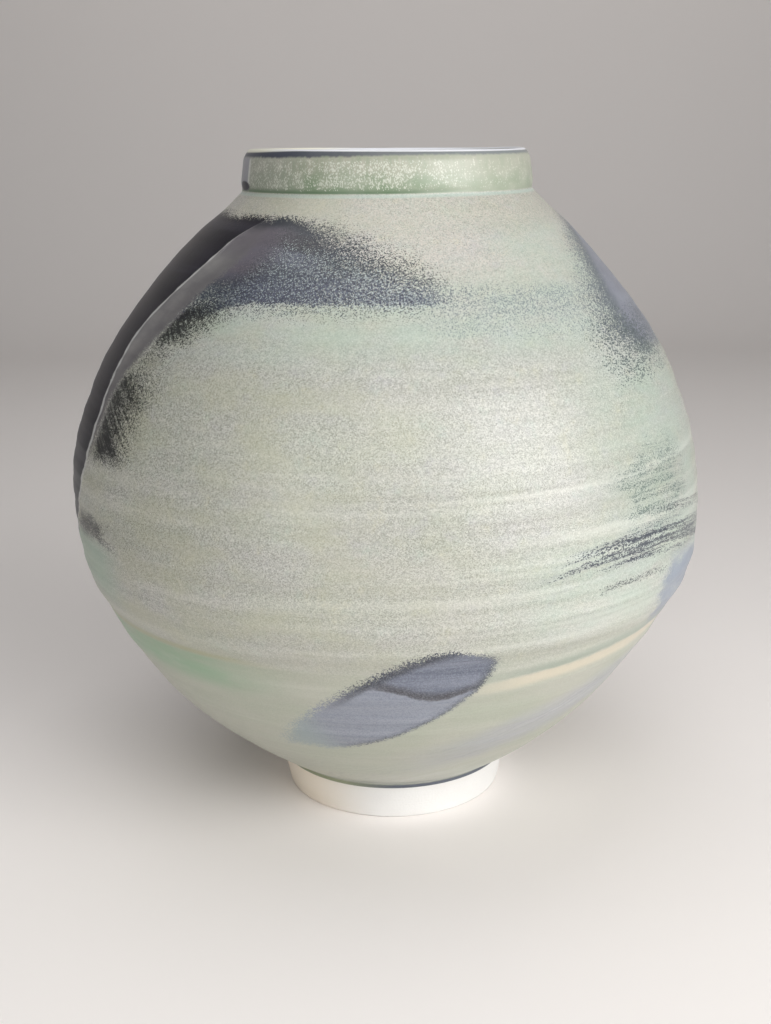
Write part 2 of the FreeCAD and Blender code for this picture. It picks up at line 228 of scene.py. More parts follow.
def unevenness(seed, azimuth, up, waves, length):
    """A gentle unevenness between -1 and 1 that closes round the jar, from a few seeded waves."""
    source = np.random.default_rng(seed)
    total = 0
    for _ in range(waves):
        lobes = source.integers(1, 6)
        wave_length = length * source.uniform(0.7, 1.6)
        phase = source.uniform(0, 2 * math.pi)
        total = total + np.sin(np.radians(azimuth) * lobes + 2 * math.pi * up / wave_length + phase)
    return total / waves


# The raised edge of the second coat: it runs down the left shoulder and round the belly, and hooks at its top.
RIDGE_AZIMUTH = -63.4
RIDGE_SWING = 16.6
RIDGE_SWING_UP = 272, 338
RIDGE_FALL_UP = 228
RIDGE_FALL = 0.0028
RIDGE_HOOK_UP = 320
RIDGE_HOOK = 0.035
RIDGE_SHOWN = [(120, 0), (165, 0.3), (200, 1), (322, 1), (334, 0)]
RIDGE_OUT = 165
RIDGE_HEIGHT = 0.42
STEP_HEIGHT = 0.3
STEP_SLOPE = 1.4
STEP_END = -150
STEP_END_LENGTH = 20


def ridge_line(rise, fall, hook):
    """The azimuth of the raised edge, from its swing and from the heights under its fall and over its hook."""
    return rise * RIDGE_SWING + RIDGE_AZIMUTH - fall * fall * RIDGE_FALL + hook * hook * RIDGE_HOOK


def ridge_azimuth(up):
    low, high = RIDGE_SWING_UP
    rise = np.clip((up - low) / (high - low), 0, 1)
    rise = rise * rise * (3 - 2 * rise)
    return ridge_line(rise, np.clip(RIDGE_FALL_UP - up, 0, None), np.clip(up - RIDGE_HOOK_UP, 0, None))


# The rings that fingers leave: their strength at each level, and how far apart they are.
RINGS = [(24, 0.03), (60, 0.1), (120, 0.16), (150, 0.26), (215, 0.26), (250, 0.14), (300, 0.07), (345, 0.03)]
RING_DRIFT = 1.2
RING_SPACING = 13.5
BROAD_RING_SPACING = 31
FINE_RING_SPACING = 4.6


def throwing_lines(azimuth, up):
    """The shallow rings of throwing, strongest round the belly and fading at the shoulder."""
    drift = RING_DRIFT * np.cos(np.radians(azimuth) + 0.4)
    coarse = np.sin(2 * math.pi * (up + drift) / RING_SPACING)
    coarse = coarse + 0.5 * np.sin(2 * math.pi * (up + drift) / BROAD_RING_SPACING + 1)
    fine = 0.3 * np.sin(2 * math.pi * (up - drift) / FINE_RING_SPACING + 0.7)
    return table(up, RINGS) * (coarse + fine) * (0.75 + 0.25 * unevenness(3, azimuth, up, 5, 60))


def coat_relief(azimuth, up):
    """How far the glaze stands out from its true surface: its rings, the raised edge and the step beside it."""
    waver = 0.5 * unevenness(11, up * 9, up, 4, 23)
    span = (azimuth - ridge_azimuth(up) - waver) * RIDGE_OUT / RADIAN
    line = RIDGE_HEIGHT * np.exp(-span ** 2)
    step = STEP_HEIGHT / (1 + np.exp(np.clip(span * STEP_SLOPE, -40, 40)))
    step = step * np.clip((azimuth - STEP_END) / STEP_END_LENGTH, 0, 1)
    return throwing_lines(azimuth, up) + table(up, RIDGE_SHOWN) * (line + step)


# ---- Meshes ----

def columns(step, dense=None):
    """Azimuths round the jar, closer together where a fine line runs."""
    places = np.arange(-180, 180, step)
    if dense:
        low, high, finer = dense
        places = places[(places < low) | (places > high)]
        places = np.sort(np.concatenate([places, np.arange(low, high + finer / 2, finer)]))
    return places


def turned_mesh(name, outline, azimuths, closed=True, relief=None):
    """A piece turned from its outline. An open outline starts and ends on the axis."""
    out = outline[:, :1]
    up = outline[:, 1:]
    if relief is not None:
        ahead = np.roll(outline, -1, axis=0) - np.roll(outline, 1, axis=0)
        ahead = ahead / np.linalg.norm(ahead, axis=1, keepdims=True)
        amount = relief(azimuths[None, :], up)
        out = out + amount * ahead[:, 1:]
        up = up - amount * ahead[:, :1]
    x, y, z = depart(out, up, azimuths[None, :])
    grid = np.stack(np.broadcast_arrays(x, y, z), axis=-1)
    rings, across = grid.shape[:2]
    index = np.arange(rings * across).reshape(rings, across)
    lower, upper = (index, np.roll(index, -1, axis=0)) if closed else (index[:-1], index[1:])
    quads = np.stack([lower, np.roll(lower, -1, 1), np.roll(upper, -1, 1), upper], axis=-1).reshape(-1, 4)
    mesh = bpy.data.meshes.new(name)
    mesh.from_pydata((grid.reshape(-1, 3) * METRE).tolist(), [], quads.tolist())
    clean(mesh)
    mesh.shade_smooth()
    return add_object(name, mesh)


def add_object(name, content):
    added = bpy.data.objects.new(name, content)
    bpy.context.collection.objects.link(added)
    return added


def clean(mesh):
    """Makes one point of each ring that lies on the axis, and turns every face outwards."""
    work = bmesh.new()
    work.from_mesh(mesh)
    bmesh.ops.remove_doubles(work, verts=work.verts, dist=1e-6)
    bmesh.ops.recalc_face_normals(work, faces=work.faces)
    work.to_mesh(mesh)
    work.free()


def add_piece(name, node, slot, outline, azimuths, material, **form):
    piece = turned_mesh(name, outline, azimuths, **form)
    piece.data.materials.append(material)
    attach(piece, "root")
    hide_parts(node)


# ---- Materials ----

class Field:
    """A value that varies over a surface: an output of the material being built."""

    def __init__(self, paint, socket):
        self.paint = paint
        self.socket = socket

    def __add__(self, other):
        return self.paint.maths("ADD", self, other)

    def __sub__(self, other):
        return self.paint.maths("SUBTRACT", self, other)

    def __rsub__(self, other):
        return self.paint.maths("SUBTRACT", other, self)

    def __mul__(self, other):
        return self.paint.maths("MULTIPLY", self, other)

    def __truediv__(self, other):
        return self.paint.maths("DIVIDE", self, other)

    def __neg__(self):
        return self.paint.maths("MULTIPLY", self, -1)

    def squared(self):
        return self.paint.maths("MULTIPLY", self, self)

    def most(self, other):
        return self.paint.maths("MAXIMUM", self, other)

    def least(self, other):
        return self.paint.maths("MINIMUM", self, other)

    def above(self, low, high):
        """0 where this is under low, 1 where it is over high, smooth between."""
        return self.paint.ramp(self, low, high)

    def below(self, low, high):
        """1 where this is under low, 0 where it is over high, smooth between."""
        return self.paint.ramp(self, high, low)

    def between(self, low, low_full, high_full, high):
        """1 from low_full to high_full, 0 outside low to high, smooth between."""
        return self.above(low, low_full) * self.below(high_full, high)


def place_parts():
    """A node group that gives the place on the surface, in metres, as its three parts."""
    group = bpy.data.node_groups.get("place_parts")
    if group:
        return group
    group = bpy.data.node_groups.new("place_parts", "ShaderNodeTree")
    for axis in "XYZ":
        group.interface.new_socket(axis, in_out="OUTPUT", socket_type="NodeSocketFloat")
    place = group.nodes.new("ShaderNodeTexCoord").outputs["Object"]
    apart = group.nodes.new("ShaderNodeSeparateXYZ")
    end = group.nodes.new("NodeGroupOutput")
    group.links.new(place, apart.inputs[0])
    for axis in "XYZ":
        group.links.new(apart.outputs[axis], end.inputs[axis])
    return group


def drop_order(chance, distance):
    """The share from which on a drop is there: first the middles of the cells with a low chance."""
    return chance * 0.72 + distance * 0.4


NOISE = "ShaderNodeTexNoise"
CELLS = "ShaderNodeTexVoronoi"


class Paint:
    """One material under construction, whose colour is laid on in layers.

    Cycles holds few values at a time, so each value is made right before it is first used.
    """

    def __init__(self, name):
        self.material = bpy.data.materials.new(name)
        self.material.use_nodes = True
        self.nodes = self.material.node_tree.nodes
        self.links = self.material.node_tree.links
        self.shader = self.nodes["Principled BSDF"]
        self.place = self.nodes.new("ShaderNodeTexCoord").outputs["Object"]
        apart = self.nodes.new("ShaderNodeGroup")
        apart.node_tree = place_parts()
        self.x, self.y, self.z = (Field(self, output) for output in apart.outputs)
        self.up = self.z / METRE
        self.azimuth = self.maths("ARCTAN2", self.x, -self.y) * RADIAN
        self.colour = None

    def give(self, socket, value):
        if isinstance(value, Field):
            value = value.socket
        if isinstance(value, bpy.types.NodeSocket):
            self.links.new(value, socket)
        elif socket.type == "RGBA":
            socket.default_value = (*value, 1)
        else:
            socket.default_value = value

    def maths(self, operation, *values):
        node = self.nodes.new("ShaderNodeMath")
        node.operation = operation
        for socket, value in zip(node.inputs, values):
            self.give(socket, value)
        return Field(self, node.outputs[0])

    def ramp(self, value, low, high):
        node = self.nodes.new("ShaderNodeMapRange")
        node.interpolation_type = "SMOOTHSTEP"
        node.clamp = False
        for name, entry in (("Value", value), ("From Min", low), ("From Max", high)):
            self.give(node.inputs[name], entry)
        return Field(self, node.outputs["Result"])

    def texture(self, kind, size, up_size, shift, level):
        """A texture whose features have the given size in millimetres, across and in height.

        With a level, a height in millimetres, the marks run along its lines instead of level ones.
        """
        up_size = up_size or size
        mapping = self.nodes.new("ShaderNodeMapping")
        self.links.new(self.place, mapping.inputs["Vector"])
        upwards = 0 if level else 1 / (up_size * METRE)
        mapping.inputs["Scale"].default_value = (1 / (size * METRE), 1 / (size * METRE), upwards)
        mapping.inputs["Location"].default_value = (shift, shift, shift)
        height = level / up_size if level else None
        node = self.nodes.new(kind)
        self.links.new(mapping.outputs[0], node.inputs["Vector"])
        node.inputs["Scale"].default_value = 1
        if level:
            setattr(node, "noise_dimensions" if kind == NOISE else "voronoi_dimensions", "4D")
            self.give(node.inputs["W"], height)
        return node

    def noise(self, size, up_size=None, detail=2, roughness=0.5, shift=0, level=None):
        """A cloudy noise about 0, mostly within -0.5 to 0.5, with features of the given size in millimetres."""
        node = self.texture(NOISE, size, up_size, shift, level)
        node.inputs["Detail"].default_value = detail
        node.inputs["Roughness"].default_value = roughness
        return (Field(self, node.outputs["Fac"]) - 0.5) * 2

    def cells(self, size, up_size=None, shift=0, level=None):
        """Small uneven cells: two random numbers for each cell, and how far out from its middle a point lies."""
        node = self.texture(CELLS, size, up_size, shift, level)
        apart = self.nodes.new("ShaderNodeSeparateColor")
        self.links.new(node.outputs["Color"], apart.inputs[0])
        return Field(self, apart.outputs[0]), Field(self, apart.outputs[1]), Field(self, node.outputs["Distance"])

    def drops(self, size, up_size=None, shift=0, level=None):
        """The order in which spray drops of the given size cover the surface."""
        chance, _, distance = self.cells(size, up_size, shift, level)
        return drop_order(chance, distance)

    def cover(self, share, drops, soft=0.05):
        """1 on the drops that a share of the surface holds."""
        return (share * 1.1 - drops).above(-soft, soft)

    def mix(self, share, under, over):
        node = self.nodes.new("ShaderNodeMix")
        node.data_type = "RGBA"
        self.give(node.inputs["Factor"], share)
        self.give(node.inputs["A"], under)
        self.give(node.inputs["B"], over)
        return node.outputs["Result"]

    def lay(self, share, tint):
        """Lays a tint over a share of the colour so far."""
        self.colour = self.mix(share, self.colour, tint)

    def finish(self, roughness, height=None, height_scale=0, **constants):
        self.give(self.shader.inputs["Base Color"], self.colour)
        self.give(self.shader.inputs["Roughness"], roughness)
        for name, value in constants.items():
            self.shader.inputs[name.replace("_", " ")].default_value = value
        if height is not None:
            bump = self.nodes.new("ShaderNodeBump")
            bump.inputs["Distance"].default_value = height_scale
            self.give(bump.inputs["Height"], height)
            self.links.new(bump.outputs[0], self.shader.inputs["Normal"])
        return self.material


# Tints are linear red, green and blue. Two of them in a row are the ends that a cloudy noise mixes.
BODY_TINT = (0.84, 0.81, 0.76)
SLIP_TINT = (0.82, 0.79, 0.74)
FLOOR_TINT = (0.94, 0.895, 0.865)

PORCELAIN = (0.76, 0.75, 0.73), (0.79, 0.785, 0.765)
PORCELAIN_WARM_SHADE = (0.92, 0.83, 0.7)
TURNING_MARKS = (0.8, 0.76, 0.7)
PITS = (0.5, 0.45, 0.4)

LINER_CREAM = (0.7, 0.69, 0.56), (0.76, 0.745, 0.64)
LINER_HOLLOWS = (0.62, 0.64, 0.52)
LINER_FLECKS = (0.42, 0.4, 0.3)

GROUND_DARK = (0.25, 0.263, 0.215), (0.27, 0.273, 0.247)
GROUND_LIGHT = (0.535, 0.545, 0.47), (0.56, 0.555, 0.52)
GROUND_PLAIN = (0.4, 0.43, 0.345), (0.455, 0.46, 0.385)
PINK_DROPS = (0.57, 0.505, 0.45)
STRAW_DROPS = (0.54, 0.52, 0.35)
MAUVE_DROPS = (0.42, 0.4, 0.48)
JADE_DROPS = (0.38, 0.5, 0.43)
BRUSHED_LIGHT = (0.6, 0.59, 0.525)
BRUSHED_DARK = (0.35, 0.36, 0.3)
BAND_LIGHT_AND_HIGHLIGHT = (0.62, 0.62, 0.56)
BAND_DARK = (0.33, 0.34, 0.28)
OLIVE_CLOUD = (0.43, 0.43, 0.31)
MINT = (0.38, 0.49, 0.42)
SHADED_GRAINS = (0.15, 0.16, 0.12)
WHITE_FLECKS = (0.86, 0.865, 0.82)

SEAM_OLIVE = (0.33, 0.335, 0.18)
SEAM_BLOOM = (0.255, 0.4, 0.26)
SEAM_SHADE = (0.34, 0.355, 0.275)

CREAM_STREAK = (0.64, 0.565, 0.44)
GREEN_LINE = (0.26, 0.31, 0.26)
LAVENDER = (0.37, 0.375, 0.425)
DRAWN_LIGHT = (0.55, 0.56, 0.57)
DRAWN_DARK = (0.2, 0.22, 0.25)

SLATE = (0.033, 0.042, 0.056), (0.058, 0.068, 0.09)
SLATE_VIOLET = (0.082, 0.09, 0.14)
SLATE_ARC = (0.135, 0.145, 0.19)
SLATE_EDGE = (0.022, 0.026, 0.034)
UMBER = (0.05, 0.044, 0.048)
PLUM = (0.135, 0.12, 0.14)
SLATE_BRUSHED = (0.13, 0.14, 0.18)
SLATE_GRAINS = (0.014, 0.017, 0.024)
PALE_SPECKS = (0.45, 0.51, 0.49)
TAIL_DROPS = (0.15, 0.175, 0.2)

RIGHT_SLATE = (0.19, 0.2, 0.24), (0.255, 0.27, 0.315)
RIGHT_SLATE_EDGE = (0.1, 0.12, 0.13)
NOSE_DROPS = (0.08, 0.1, 0.105)

BELLY_GRAINS = (0.065, 0.1, 0.1)
FLOW_LINES = (0.22, 0.25, 0.29)
FLOW_DROPS = (0.035, 0.042, 0.062)
BRANCH_DROPS = (0.05, 0.06, 0.07)
SKY = (0.19, 0.225, 0.3), (0.25, 0.285, 0.36)

LENS_LOW = (0.22, 0.243, 0.297), (0.315, 0.335, 0.392)
LENS_HIGH = (0.115, 0.13, 0.175), (0.24, 0.262, 0.325)
LENS_LINE = (0.05, 0.046, 0.052)
LENS_TOP = (0.035, 0.038, 0.052)
LENS_FOOT = (0.04, 0.047, 0.062)
LENS_LIGHT_GRAINS = (0.34, 0.37, 0.41)
LENS_DARK_GRAINS = (0.09, 0.1, 0.13)
LENS_LEFT = (0.31, 0.38, 0.36)

LEFT_GRAINS = (0.014, 0.015, 0.016)
TAUPE = (0.17, 0.165, 0.17), (0.25, 0.243, 0.236)
TAUPE_INNER = (0.1, 0.095, 0.1)
TAUPE_HIGH = (0.125, 0.11, 0.13)
TAUPE_BANDS = (0.07, 0.065, 0.07)
TAUPE_TOP = (0.022, 0.024, 0.032)
DOTS = (0.02, 0.022, 0.03)
UNDER_DOTS = (0.31, 0.42, 0.34)
NAVY = (0.005, 0.005, 0.01), (0.012, 0.011, 0.02)
NAVY_LOW = (0.03, 0.042, 0.05)
NAVY_BANDS = (0.045, 0.043, 0.062)
RAISED_EDGE_PALE_AND_HIGHLIGHT = (0.43, 0.43, 0.42)

SAGE = (0.19, 0.262, 0.165), (0.305, 0.345, 0.26)
SAGE_RUNS = (0.44, 0.41, 0.35)
SAGE_LEFT = (0.37, 0.37, 0.335)
SAGE_POOL = (0.09, 0.155, 0.085)
SAGE_RIGHT = (0.46, 0.47, 0.4)
SAGE_DROPS = (0.6, 0.62, 0.54)
COLLAR_LINE = (0.42, 0.54, 0.49)
LILAC = (0.3, 0.3, 0.35)
LILAC_EDGE = (0.7, 0.71, 0.68)
COLLAR_SPOT = (0.008, 0.008, 0.025)
LIP_BAND = (0.04, 0.046, 0.075), (0.14, 0.16, 0.19)
LIP_PALE_AND_HIGHLIGHT = (0.77, 0.78, 0.82), (0.76, 0.73, 0.56)

FOOT_EDGE = (0.26, 0.29, 0.17), (0.06, 0.075, 0.115)
FOOT_PALE_LINE = (0.6, 0.63, 0.6)
FOOT_DARK_LINE = (0.16, 0.185, 0.2)


def bare_porcelain():
    """The unglazed foot: matt white with a painted warm cast of shade on its left side, faint turning marks and a few
    pits.
    """
    paint = Paint("bare_porcelain")
    cloud = paint.noise(22, detail=3)
    marks = paint.noise(60, 0.7, detail=1)
    pits = paint.cover(paint.noise(9).above(0, 1.4) * 0.3, paint.drops(0.8))
    paint.colour = paint.mix(cloud.above(-0.4, 0.5), *PORCELAIN)
    # Painted shade: a warm cast on the left side of the foot, which is turned from the lamps.
    paint.lay(paint.azimuth.between(-170, -110, -50, -5), PORCELAIN_WARM_SHADE)
    paint.lay(marks.above(0.1, 0.6) * 0.25, TURNING_MARKS)
    paint.lay(pits * 0.35, PITS)
    height = marks * 0.5 + paint.noise(1.4) * 0.5 - pits * 0.6
    return paint.finish(cloud * 0.08 + 0.62, height, 0.00012, Specular_IOR_Level=0.35)


def fired_slip(name, tint):
    """Porcelain under the glaze: chalky, with fine brushed marks."""
    paint = Paint(name)
    cloud = paint.noise(14, 5, detail=3)
    paint.colour = paint.mix(cloud.above(-0.5, 0.5), tint, tuple(0.92 * part for part in tint))
    return paint.finish(cloud * 0.06 + 0.7, cloud, 0.0001, Specular_IOR_Level=0.3)


def liner_glaze():
    """The glaze inside: pale yellow cream over throwing rings, a little thicker and greener in the hollows."""
    paint = Paint("liner_glaze")
    cloud = paint.noise(35, 12, detail=3)
    rings = paint.noise(120, 5, detail=1)
    flecks = paint.cover(paint.noise(20).above(-0.6, 1) * 0.12 + 0.02, paint.drops(0.9))
    paint.colour = paint.mix(cloud.above(-0.5, 0.5), *LINER_CREAM)
    paint.lay(rings.above(0, 0.7) * 0.4, LINER_HOLLOWS)
    paint.lay(flecks * 0.5, LINER_FLECKS)
    height = rings + paint.noise(2.5) * 0.1
    return paint.finish(cloud * 0.05 + 0.3, height, 0.0003, Specular_IOR_Level=0.5)


class SprayedGlaze(Paint):
    """The outer glaze: a pale grey-green ground under a fine spray, with slate blue swathes that break up into drops.

    Each method lays one area over those before it: soft bands in azimuth and height with edges moved by noise.
    """

    def __init__(self):
        super().__init__("sprayed_glaze")
        chance, self.second, distance = self.cells(0.56)
        self.grain, _, grain_distance = self.cells(0.44, shift=9.1)
        self.grain_drops = drop_order(self.grain, grain_distance)
        self.fine_drops = drop_order(chance, distance)
        self.finer_drops = self.drops(0.44, shift=7.3)
        self.spiky_drops = self.drops(0.55, 1.5, shift=8.1)
        self.cloud = self.noise(45, 22, detail=3)
        self.other_cloud = self.noise(34, 18, detail=3, shift=8.4)
        self.brushed = self.noise(90, 3.2, detail=3, roughness=0.6)
        self.wisps = self.noise(26, 9, detail=3, roughness=0.6, shift=4)
        self.bands = self.noise(240, 6, roughness=0.55, shift=3)
        self.reach = self.maths("SQRT", self.x.squared() + self.y.squared()) / METRE

    def build(self):
        self.lay_ground()
        self.lay_seam()
        self.lay_lower_right()
        self.measure_swathe()
        self.lay_swathe()
        self.lay_tail()
        self.lay_right_slate()
        self.lay_belly_streaks()
        self.lay_lens()
        self.lay_left()
        self.lay_collar()
        self.lay_lip()
        self.lay_foot_edge()
        height = self.noise(3) * 0.35 + self.flecks * 0.25 + self.brushed * 0.5
        return self.finish(self.cloud * 0.04 + 0.36, height, 0.00008, Specular_IOR_Level=0.5)

    def lay_ground(self):
        """Fine drops of cream, grey and green side by side, smoother and greener under the seam."""
        up, azimuth, brushed, second = self.up, self.azimuth, self.brushed, self.second
        blotch = self.noise(8, shift=2)
        other_blotch = self.noise(9, shift=6)
        clouded = self.cloud.above(-0.5, 0.5)
        self.colour = self.mix(self.grain, self.mix(clouded, *GROUND_DARK), self.mix(clouded, *GROUND_LIGHT))
        pink = up.between(285, 318, 352, 362) * second.above(0.3, 0.7)
        self.lay(pink * 0.5, PINK_DROPS)
        self.lay(blotch.above(0.1, 0.6) * second * 0.4, STRAW_DROPS)
        self.lay(blotch.below(-0.6, -0.1) * second * 0.35, MAUVE_DROPS)
        self.lay(other_blotch.above(0.1, 0.6) * second * 0.35, JADE_DROPS)
        spray = up.above(112, 152)
        self.lay(1 - spray * 0.8 - 0.2, self.mix(clouded, *GROUND_PLAIN))
        self.lay(brushed.above(0, 0.8) * 0.3, BRUSHED_LIGHT)
        self.lay(brushed.below(-0.8, 0) * 0.28, BRUSHED_DARK)
        # Light and dark bands follow the throwing rings round the belly. The light ones are partly the glaze's own
        # banding and partly a painted highlight on the ridges.
        beside = azimuth.above(8, 40).most(azimuth.below(-50, -25)) * 0.55 + 0.45
        banded = up.between(96, 140, 215, 245) * beside
        self.lay(self.bands.above(-0.1, 0.6) * banded * 0.65, BAND_LIGHT_AND_HIGHLIGHT)
        self.lay(self.bands.below(-0.6, 0.1) * banded * 0.4, BAND_DARK)
        olive_cloud = self.other_cloud.above(-0.25, 0.35) * azimuth.between(-170, -120, -20, 25) * spray
        self.lay(olive_cloud * 0.45, OLIVE_CLOUD)
        mint = up.between(264, 286, 297, 318) * azimuth.between(-75, -35, 62, 95)
        mint = mint.most(azimuth.between(28, 50, 66, 80) * up.between(150, 185, 258, 290))
        mint = mint.most(azimuth.between(20, 42, 60, 80) * up.between(290, 305, 322, 336))
        mint = mint.most(azimuth.between(12, 35, 80, 100) * up.between(132, 152, 178, 200))
        self.lay(mint * self.wisps.above(-0.8, 0.5) * 0.45, MINT)
        # Painted shade: dark grains darken the left of the belly and shoulder, the side turned from the lamps. They
        # also add contrast to the speckle there.
        shaded = azimuth.between(-150, -110, -50, -12) * up.between(140, 185, 262, 290)
        self.lay(shaded * self.grain.below(0.1, 0.55) * 0.45, SHADED_GRAINS)
        fleck_share = brushed * 0.06 + 0.06 + azimuth.between(-170, -120, -50, -15) * 0.05
        self.flecks = self.cover(fleck_share * (spray * 0.85 + 0.15), self.drops(0.75, shift=3.1))
        self.lay(self.flecks * 0.92, WHITE_FLECKS)

    def lay_seam(self):
        """A thin olive line just under the seam, with an aqua bloom under it to the left."""
        tilt = self.maths("COSINE", (self.azimuth - SEAM_TILT_TOWARDS) / RADIAN) * SEAM_TILT
        over_line = self.up - tilt - (SEAM_UP - SEAM_TILT - 1.6)
        olive = over_line.between(-2.2, -0.6, 0.6, 3) * self.azimuth.between(-120, -70, -36, -16)
        self.lay(olive * 0.6, SEAM_OLIVE)
        bloom = over_line.between(-28, -10, -3, 0) * self.azimuth.between(-85, -58, -40, -14)
        self.lay(bloom * (self.wisps.above(-0.6, 0.2) * 0.5 + 0.45), SEAM_BLOOM)
        # Painted shade: a faint darker band under the seam's ledge.
        shade = over_line.between(-14, -3, -1.5, 0) * self.azimuth.between(-110, -70, -2, 30)
        self.lay(shade * 0.25, SEAM_SHADE)

    def lay_lower_right(self):
        """A cream streak under a greenish line, and a lavender wash towards the foot."""
        up, azimuth = self.up, self.azimuth
        streak = up - (azimuth - 38) * 0.16 - self.wisps * 2.2 - self.brushed * 0.8
        cream = streak.between(112.5, 117.5, 120.5, 122.8) * azimuth.between(8, 30, 90, 130)
        self.lay(cream * 0.7, CREAM_STREAK)
        green_line = streak.between(121.8, 123.2, 124.4, 130) * azimuth.between(10, 30, 90, 130)
        self.lay(green_line * 0.6, GREEN_LINE)
        wash = up - (azimuth - 13) * 0.75 - self.wisps * 6
        lavender = wash.between(42, 58, 66, 82) * azimuth.between(-4, 25, 70, 110)
        drawn = self.noise(80, 1.3, roughness=0.6, shift=5.2, level=wash)
        self.lay(lavender * (self.brushed * 0.3 + 0.6), LAVENDER)
        low = up.below(40, 62) * azimuth.between(-60, -25, 60, 100)
        drawn_share = lavender.most(low * 0.8)
        self.lay(drawn_share * drawn.above(0, 0.6) * 0.6, DRAWN_LIGHT)
        self.lay(drawn_share * drawn.below(-0.6, 0) * 0.5, DRAWN_DARK)

    def measure_swathe(self):
        """How far a point lies under the top of the shoulder swathe, over its foot and to the right of its start."""
        up, azimuth, wisps = self.up, self.azimuth, self.wisps
        top = 335.5 - (azimuth + 38).most(0).squared() * 0.0105
        foot = 297.5 - (-31 - azimuth).most(0) * 0.6
        self.depth = top - up + wisps * 3
        self.rise = up - foot + wisps * 2
        self.loose = azimuth.above(-34, 4)
        start = up.above(236, 322) * 17 + up.above(296, 330) * 7 - 60
        self.past_start = azimuth - start
        self.under_top = self.ramp(self.depth, -4 - self.loose * 15, self.loose * 15 + 5)

    def lay_swathe(self):
        """The shoulder swathe: crisp to the left, dissolving into drops to the right."""
        azimuth, wisps = self.azimuth, self.wisps
        depth, rise, loose, past_start = self.depth, self.rise, self.loose, self.past_start
        over_foot = rise.above(-14, 0) * 0.45 + rise.above(-2, 1.5) * 0.55
        share = self.under_top.least(over_foot).least(past_start.above(-14, -9))
        share = share * azimuth.below(6, 34) * (wisps * 0.14 + 0.97 - loose * 0.18)
        pepper = azimuth.below(-46, -30) * rise.below(2, 26)
        share = share * (1 - pepper * 0.35)
        slate = self.mix(wisps.above(-0.5, 0.5), *SLATE)
        slate = self.mix(rise.below(6, 17) * azimuth.above(-44, -30) * 0.7, slate, SLATE_VIOLET)
        arc = depth.between(12, 15, 18, 24) * azimuth.below(-26, -8)
        slate = self.mix(arc * 0.75, slate, SLATE_ARC)
        slate = self.mix(depth.between(-12, -2, 4, 9) * (0.9 - loose * 0.6), slate, SLATE_EDGE)
        umber = depth.between(5, 8, 11, 15) * azimuth.below(-24, -8)
        slate = self.mix(umber * 0.7, slate, UMBER)
        plum = past_start.below(3, 15) * depth.between(3, 8, 24, 34)
        slate = self.mix(plum * 0.85, slate, PLUM)
        slate = self.mix(self.brushed.above(-0.1, 0.7) * 0.3, slate, SLATE_BRUSHED)
        grains = self.grain.below(0.22, 0.58) * past_start.above(-2, 10)
        slate = self.mix(grains * (azimuth.below(-42, -24) * 0.3 + 0.7), slate, SLATE_GRAINS)
        at_top = depth.below(4, 10) * (1 - loose)
        cover = self.cover(share, self.grain_drops)
        self.lay(self.cover(share, self.spiky_drops) * at_top + cover * (1 - at_top), slate)
        speck_share = share.above(0.1, 0.5) * (wisps * 0.1 + 0.27 + loose * 0.1 + pepper * 0.1)
        speck_share = speck_share * past_start.above(-1, 11) * (depth.above(2, 15) * 0.75 + 0.2)
        self.lay(self.cover(speck_share, self.finer_drops) * 0.85, PALE_SPECKS)

    def lay_tail(self):
        """The swathe's thin tail to the right."""
        level = self.up - (40 - self.azimuth).most(0) * 0.12 - 294.5
        tail = level.between(-21, -11, 4, 17) * 0.32 + level.between(-8, -2, 2, 10) * 0.16
        tail = tail * self.azimuth.between(0, 14, 44, 72) * (self.wisps * 0.5 + 0.9)
        self.lay(self.cover(tail, self.grain_drops) * 0.8, TAIL_DROPS)

    def lay_right_slate(self):
        """The slate patch on the right shoulder, which comes to a nose at the front, with drops under it."""
        up, azimuth, wisps = self.up, self.azimuth, self.wisps
        over_nose = (up - 280).most(0).squared() * 0.0085
        under_nose = (280 - up).most(0).squared() * 0.03
        past_nose = azimuth - over_nose - under_nose - 57 - wisps * 5
        over_foot = up - (azimuth - 78).most(0) * 0.65 + self.other_cloud * 9
        far_end = azimuth + self.other_cloud * 26 + wisps * 12
        share = past_nose.above(-20, 11) * far_end.below(112, 152)
        share = share * up.below(322, 343) * over_foot.above(256, 275)
        slate = self.mix(wisps.above(-0.5, 0.5), *RIGHT_SLATE)
        slate = self.mix(past_nose.below(2, 9) * 0.75, slate, RIGHT_SLATE_EDGE)
        self.lay(self.cover(share * (wisps * 0.3 + 0.95), self.fine_drops), slate)
        nose = azimuth.between(36, 54, 74, 90) * up.between(244, 264, 278, 296)
        nose_cover = self.cover(nose * (wisps * 0.5 + 0.5), self.drops(1.1, 0.5, shift=5.7))
        self.lay(nose_cover * 0.85, NOSE_DROPS)

